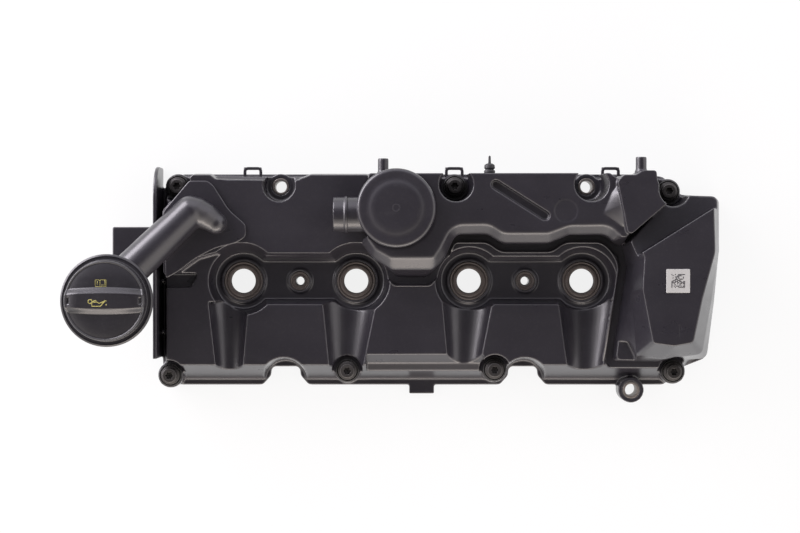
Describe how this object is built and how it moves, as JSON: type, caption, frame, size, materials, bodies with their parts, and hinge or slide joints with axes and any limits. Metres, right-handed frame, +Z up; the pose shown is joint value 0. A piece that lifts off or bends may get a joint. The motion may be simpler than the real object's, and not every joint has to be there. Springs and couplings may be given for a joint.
{
  "type": "engine valve cover",
  "caption": "Moulded black valve cover for a four-cylinder diesel engine, with oil filler neck and cap, oil separator, pressure regulator, injector wells and gasket.",
  "frame": {"origin": "middle of the two injector clamp holes, which is the centre of the injector row, in the cylinder head's gasket plane", "axes": "+X along the engine, away from the oil filler; +Y to the rear, where the nipples are; +Z up, out of the cylinder head"},
  "size_m": [0.5037, 0.1934, 0.1152],
  "materials": {
    "body_plastic": "satin moulded black",
    "inner_plastic": "matt black",
    "cap_plastic": "satin black",
    "soft_rubber": "matt black",
    "seal_rubber": "dark brown rubber",
    "spring_steel": "plain steel",
    "bolt_steel": "black oxide steel",
    "sleeve_metal": "plain steel"
  },
  "bodies": {
    "cover": {"cover_start": "body_plastic", "cover_front": "body_plastic", "cover_middle": "body_plastic", "cover_rear": "body_plastic", "cover_end": "body_plastic", "cover_ear": "body_plastic", "reservoir_shell": "body_plastic", "separator_baffle": "inner_plastic", "regulator_housing": "body_plastic", "regulator_lid": "body_plastic", "regulator_diaphragm": "soft_rubber", "regulator_spring": "spring_steel", "oil_filler_neck": "body_plastic", "perimeter_gasket": "soft_rubber", "harness_peg": "inner_plastic", "cover_bolts": "bolt_steel", "bolt_grommets": "soft_rubber", "bolt_sleeves": "sleeve_metal", "bare_sleeves": "sleeve_metal", "injector_seal_1": "seal_rubber", "injector_seal_2": "seal_rubber", "injector_seal_3": "seal_rubber", "injector_seal_4": "seal_rubber", "clamp_seal_1": "seal_rubber", "clamp_seal_2": "seal_rubber"},
    "cap": {"oil_filler_cap": "cap_plastic", "cap_seal": "soft_rubber"},
    "valve": {"regulator_valve": "inner_plastic"}
  },
  "joints": [
    {"name": "cap_turn", "type": "hinge", "parent": "cover", "child": "cap", "pos_m": [-0.2277, -0.0141, 0.09], "axis": [0, 0, 1], "range_deg": [0, 90]},
    {"name": "regulator_travel", "type": "slide", "parent": "cover", "child": "valve", "axis": [0, 0, -1], "range_m": [0, 0.0028], "stiffness_N_per_m": 300, "springref_m": -0.003, "deforming": ["regulator_spring", "regulator_diaphragm"]}
  ]
}
